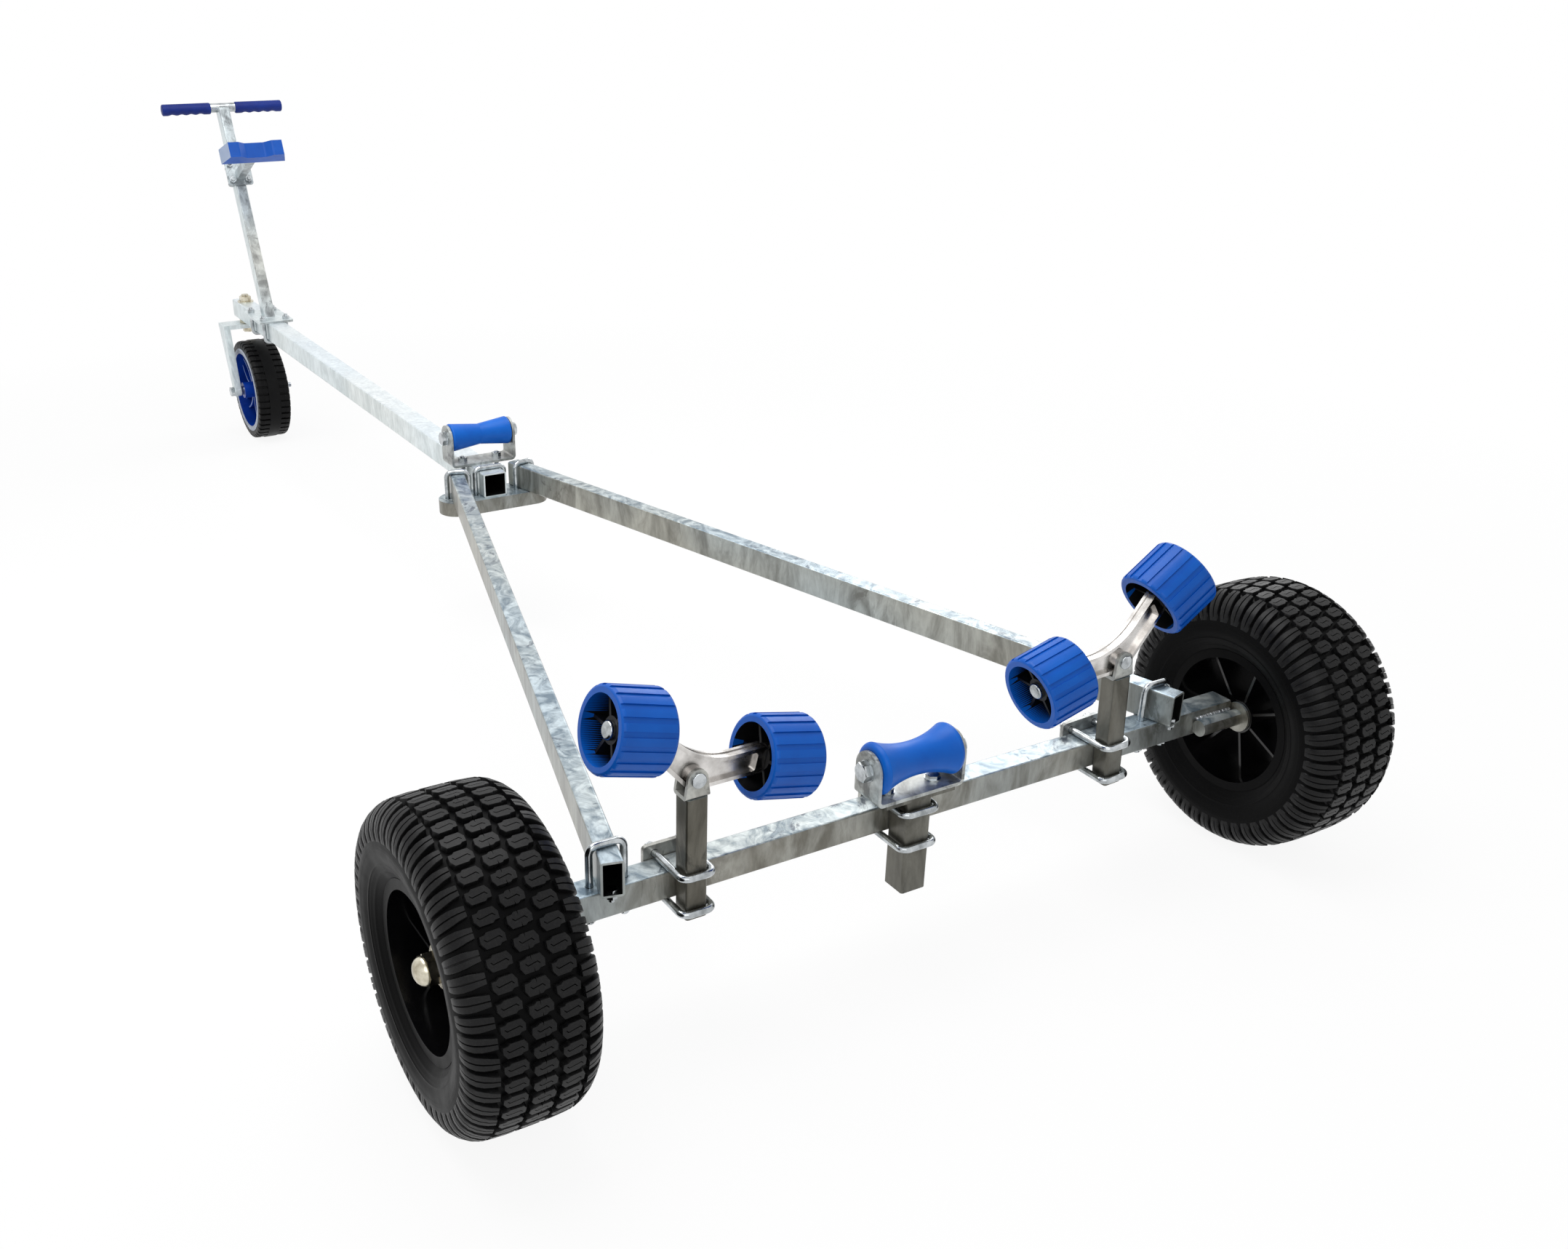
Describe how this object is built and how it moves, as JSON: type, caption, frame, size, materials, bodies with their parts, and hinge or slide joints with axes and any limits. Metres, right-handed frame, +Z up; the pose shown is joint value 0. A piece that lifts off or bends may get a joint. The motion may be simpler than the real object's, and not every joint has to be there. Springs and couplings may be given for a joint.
{
  "type": "boat trailer, hand launching trolley",
  "caption": "Hand launching trolley for a small boat: braced box-section frame on two wheels, rocking and waisted rollers, castor wheel, T-bar post and bow stop.",
  "frame": {"origin": "on the ground under the middle of the trolley's box", "axes": "+X forward along the drawbar to the castor wheel, +Y to the left, +Z up"},
  "size_m": [3.5721, 1.465, 0.9525],
  "materials": {
    "galvanised": "hot dip galvanised, spangled satin grey",
    "bright_zinc": "bright zinc plate",
    "gold_zinc": "yellow passivated zinc plate",
    "cast_metal": "cast, tumbled",
    "blue_plastic": "semi-gloss moulded",
    "blue_rubber": "satin moulded",
    "black_plastic": "satin moulded",
    "tyre_rubber": "matt rubber"
  },
  "bodies": {
    "frame": {"axle_beam": "galvanised", "castor_bolt": "gold_zinc", "clamp_bolts_left": "bright_zinc", "clamp_bolts_right": "bright_zinc", "clamp_plate_left": "galvanised", "clamp_plate_right": "galvanised", "cross_channel": "galvanised", "drawbar": "galvanised", "hand_grip_left": "blue_plastic", "hand_grip_right": "blue_plastic", "handle_bar": "galvanised", "handle_post": "galvanised", "hub_nut_left": "gold_zinc", "hub_nut_right": "gold_zinc", "junction_bolts": "bright_zinc", "keel_axle_front": "bright_zinc", "keel_axle_rear": "bright_zinc", "keel_bracket_bolts": "bright_zinc", "keel_bracket_front": "bright_zinc", "keel_bracket_rear": "bright_zinc", "keel_clamp_bolts": "bright_zinc", "keel_clamp_plate": "galvanised", "keel_post": "galvanised", "post_bolts": "bright_zinc", "rear_arm_bolts": "bright_zinc", "rocker_pin_left": "bright_zinc", "rocker_pin_right": "bright_zinc", "rocker_post_left": "galvanised", "rocker_post_right": "galvanised", "side_arm_left": "galvanised", "side_arm_right": "galvanised", "snubber_block": "blue_rubber", "snubber_bracket": "galvanised", "stub_axle_left": "galvanised", "stub_axle_right": "galvanised", "yoke_left": "cast_metal", "yoke_right": "cast_metal"},
    "castor": {"castor_fork": "galvanised", "jockey_axle": "bright_zinc"},
    "jockey_wheel": {"jockey_tyre": "tyre_rubber", "jockey_rim": "blue_plastic"},
    "keel_roller_rear": {"keel_roller_rear": "blue_plastic"},
    "keel_roller_front": {"keel_roller_front": "blue_plastic"},
    "wheel_left": {"tyre_left": "tyre_rubber", "rim_left": "black_plastic"},
    "rocker_left": {"rocker_left": "cast_metal", "roller_bolts_left": "bright_zinc"},
    "roller_left_outer": {"roller_left_outer": "blue_plastic"},
    "roller_left_inner": {"roller_left_inner": "blue_plastic"},
    "wheel_right": {"tyre_right": "tyre_rubber", "rim_right": "black_plastic"},
    "rocker_right": {"rocker_right": "cast_metal", "roller_bolts_right": "bright_zinc"},
    "roller_right_outer": {"roller_right_outer": "blue_plastic"},
    "roller_right_inner": {"roller_right_inner": "blue_plastic"}
  },
  "joints": [
    {"name": "castor_swivel", "type": "hinge", "parent": "frame", "child": "castor", "pos_m": [1.70338, 0, 0.33334], "axis": [-0.0357, 0, 0.9994], "continuous": true},
    {"name": "jockey_wheel_spin", "type": "hinge", "parent": "castor", "child": "jockey_wheel", "pos_m": [1.64106, 0, 0.145], "axis": [0, 1, 0], "continuous": true},
    {"name": "wheel_spin_left", "type": "hinge", "parent": "frame", "child": "wheel_left", "pos_m": [-1.58306, 0.65, 0.203], "axis": [0, 1, 0], "continuous": true},
    {"name": "rocker_tilt_left", "type": "hinge", "parent": "frame", "child": "rocker_left", "pos_m": [-1.59134, 0.3585, 0.36481], "axis": [0.9994, 0, 0.0357], "range_deg": [-50, 0]},
    {"name": "roller_spin_left_outer", "type": "hinge", "parent": "rocker_left", "child": "roller_left_outer", "pos_m": [-1.59425, 0.44468, 0.44643], "axis": [-0.0098, 0.9617, 0.2738], "continuous": true},
    {"name": "roller_spin_left_inner", "type": "hinge", "parent": "rocker_left", "child": "roller_left_inner", "pos_m": [-1.59114, 0.23711, 0.35914], "axis": [0.0081, -0.974, -0.2265], "continuous": true},
    {"name": "wheel_spin_right", "type": "hinge", "parent": "frame", "child": "wheel_right", "pos_m": [-1.58306, -0.65, 0.203], "axis": [0, 1, 0], "continuous": true},
    {"name": "rocker_tilt_right", "type": "hinge", "parent": "frame", "child": "rocker_right", "pos_m": [-1.59133, -0.33106, 0.36466], "axis": [0.9994, 0, 0.0357], "range_deg": [0, 54.2]},
    {"name": "roller_spin_right_outer", "type": "hinge", "parent": "rocker_right", "child": "roller_right_outer", "pos_m": [-1.59456, -0.41155, 0.45491], "axis": [-0.0194, -0.8387, 0.5443], "continuous": true},
    {"name": "roller_spin_right_inner", "type": "hinge", "parent": "rocker_right", "child": "roller_right_inner", "pos_m": [-1.59098, -0.20993, 0.35467], "axis": [0.0092, 0.9664, -0.257], "continuous": true},
    {"name": "keel_roller_spin_rear", "type": "hinge", "parent": "frame", "child": "keel_roller_rear", "pos_m": [-1.589, 0.024, 0.29935], "axis": [0, 1, 0], "continuous": true},
    {"name": "keel_roller_spin_front", "type": "hinge", "parent": "frame", "child": "keel_roller_front", "pos_m": [-0.0657, -0.006, 0.38826], "axis": [0, 1, 0], "continuous": true}
  ]
}
